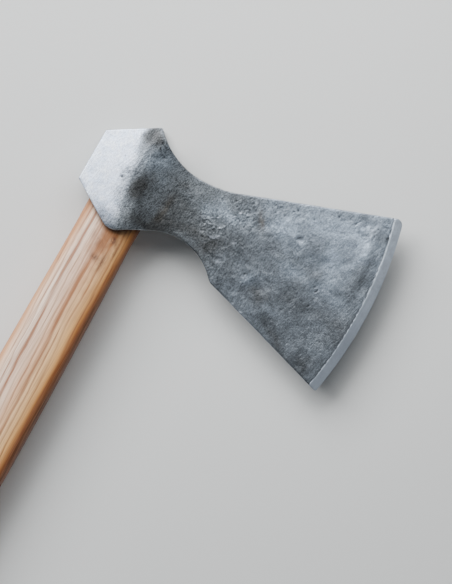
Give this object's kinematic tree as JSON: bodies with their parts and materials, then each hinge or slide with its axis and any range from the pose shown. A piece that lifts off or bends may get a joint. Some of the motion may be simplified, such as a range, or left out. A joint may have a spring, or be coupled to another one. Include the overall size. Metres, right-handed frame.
{
  "type": "carving hatchet",
  "caption": "Small carving hatchet: forged head with flat poll, pointed cheek lugs, waisted neck and flared bearded blade, wedged on a straight wooden handle.",
  "frame": {"origin": "centre of the flat poll face, on the mid-plane of the head", "axes": "+X from the poll towards the cutting edge, +Y along the haft from the grip towards the top of the head, +Z square to the cheeks; the hatchet lies on its side"},
  "size_m": [0.1687, 0.4153, 0.0318],
  "materials": {
    "forged_steel": "forged and hammered, dull grey, finely pitted",
    "edge_steel": "finely ground along the bevel",
    "haft_wood": "smooth, oiled, straight grained",
    "wedge_wood": "sawn dark hardwood",
    "wedge_steel": "black from the forge"
  },
  "bodies": {
    "root": {"head_body": "forged_steel", "steel_bit": "edge_steel", "haft": "haft_wood", "kerf_wedge": "wedge_wood", "cross_wedge": "wedge_steel"}
  },
  "joints": []
}
